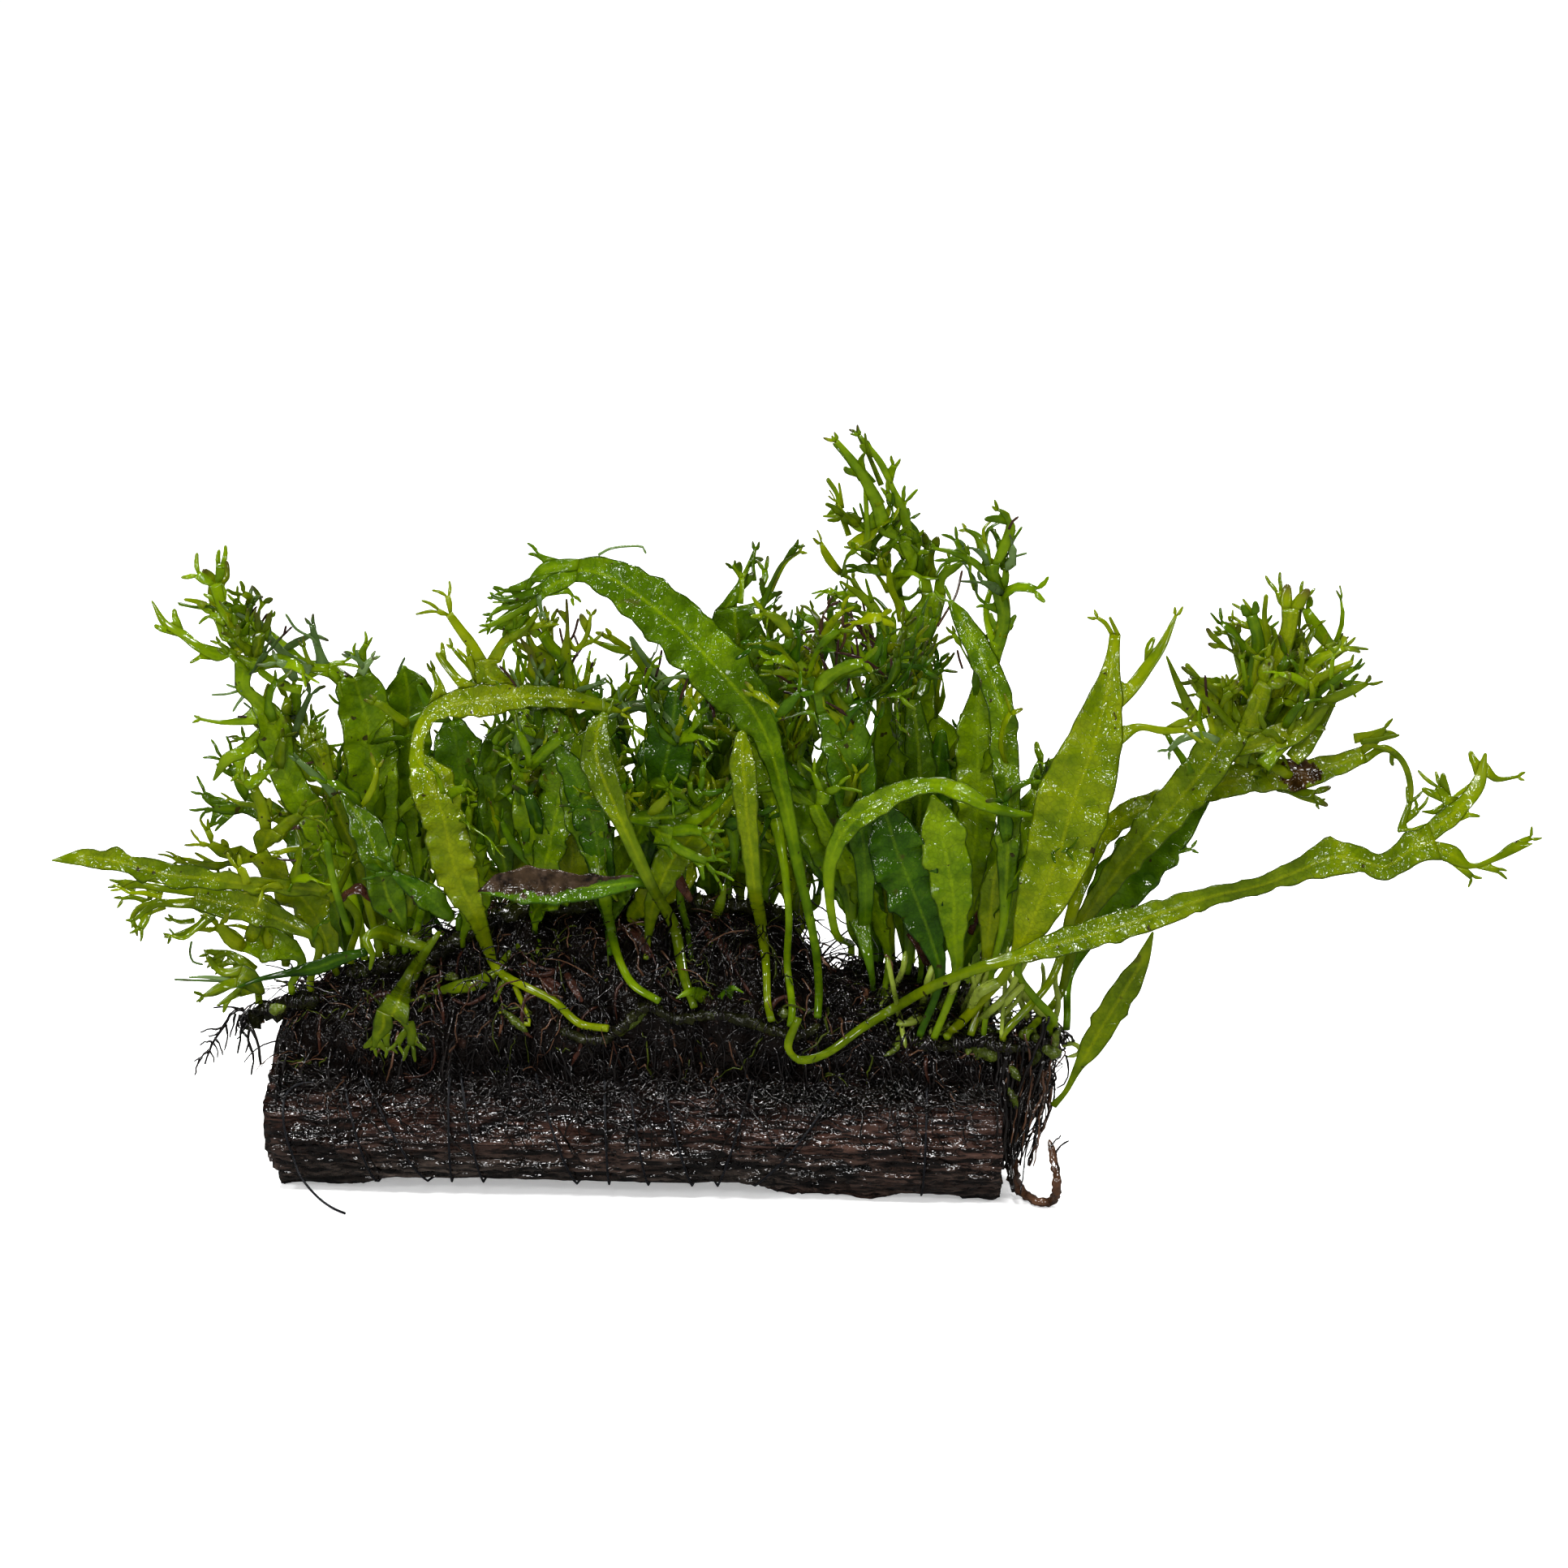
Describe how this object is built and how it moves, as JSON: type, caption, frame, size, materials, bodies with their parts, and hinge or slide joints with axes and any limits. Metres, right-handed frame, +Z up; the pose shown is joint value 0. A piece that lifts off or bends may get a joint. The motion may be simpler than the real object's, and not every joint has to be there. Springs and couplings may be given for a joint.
{
  "type": "java fern on driftwood",
  "caption": "Lace-tipped java fern with a dark root mat, tied with black thread along a straight piece of driftwood that lies flat on its own worn underside.",
  "frame": {"origin": "middle of the object's footprint box, on the ground that the log lies on", "axes": "+X along the log towards the longer, drooping side of the fern; +Y to the back, away from the side that is shown first; +Z up"},
  "size_m": [0.2836, 0.0746, 0.1575],
  "materials": {
    "leaf_bright": "wet, glossy, lime green",
    "leaf_mid": "wet, glossy, mid green",
    "leaf_dark": "wet, glossy, dark bluish green",
    "rhizome": "damp, olive green",
    "roots": "wet, black brown hair roots",
    "bark": "wet, red brown, long grain",
    "thread": "black twisted thread"
  },
  "bodies": {
    "root": {"crown_rhizome": "rhizome", "driftwood_log": "bark", "end_root_bundle": "roots", "frond_behind_arch": "leaf_mid", "frond_bluish": "leaf_dark", "frond_centre_dark": "leaf_dark", "frond_centre_fan": "leaf_dark", "frond_centre_flat": "leaf_mid", "frond_centre_right": "leaf_mid", "frond_front_arching": "leaf_mid", "frond_front_crossing": "leaf_mid", "frond_front_narrow": "leaf_bright", "frond_front_right_broad": "leaf_bright", "frond_front_yellow": "leaf_bright", "frond_grey_crest": "leaf_mid", "frond_left_broad": "leaf_mid", "frond_left_long": "leaf_bright", "frond_left_low_broad": "leaf_mid", "frond_left_low_crested": "leaf_bright", "frond_left_low_fan": "leaf_bright", "frond_left_lower_a": "leaf_mid", "frond_left_round": "leaf_mid", "frond_left_small_crest": "leaf_bright", "frond_left_tall": "leaf_mid", "frond_lower_right": "leaf_bright", "frond_mid_left": "leaf_mid", "frond_mid_low": "leaf_mid", "frond_pale_crest": "leaf_bright", "frond_purple_tips": "leaf_bright", "frond_rear_a": "leaf_dark", "frond_rear_b": "leaf_mid", "frond_rear_c": "leaf_bright", "frond_rear_d": "leaf_dark", "frond_rear_e": "leaf_mid", "frond_right_cluster": "leaf_bright", "frond_right_crossed_stalk": "leaf_mid", "frond_right_dark_behind": "leaf_dark", "frond_right_long": "leaf_bright", "frond_right_middle": "leaf_bright", "frond_right_mottled": "leaf_mid", "frond_right_pointed": "leaf_mid", "frond_right_ribbon": "leaf_mid", "frond_right_short": "leaf_bright", "frond_small_fan": "leaf_bright", "frond_spotted_left": "leaf_dark", "frond_spotted_right": "leaf_mid", "frond_stalk_left_of_middle": "leaf_mid", "frond_stalk_middle": "leaf_bright", "frond_tallest": "leaf_mid", "frond_thin_middle_stalk": "leaf_mid", "frond_withered": "leaf_mid", "front_rhizome": "rhizome", "hanging_root_loop": "roots", "left_rhizome": "rhizome", "rear_rhizome": "rhizome", "right_crown_rhizome": "rhizome", "right_rhizome": "rhizome", "root_mat": "roots", "thread_tail": "thread", "tie_thread": "thread"}
  },
  "joints": []
}
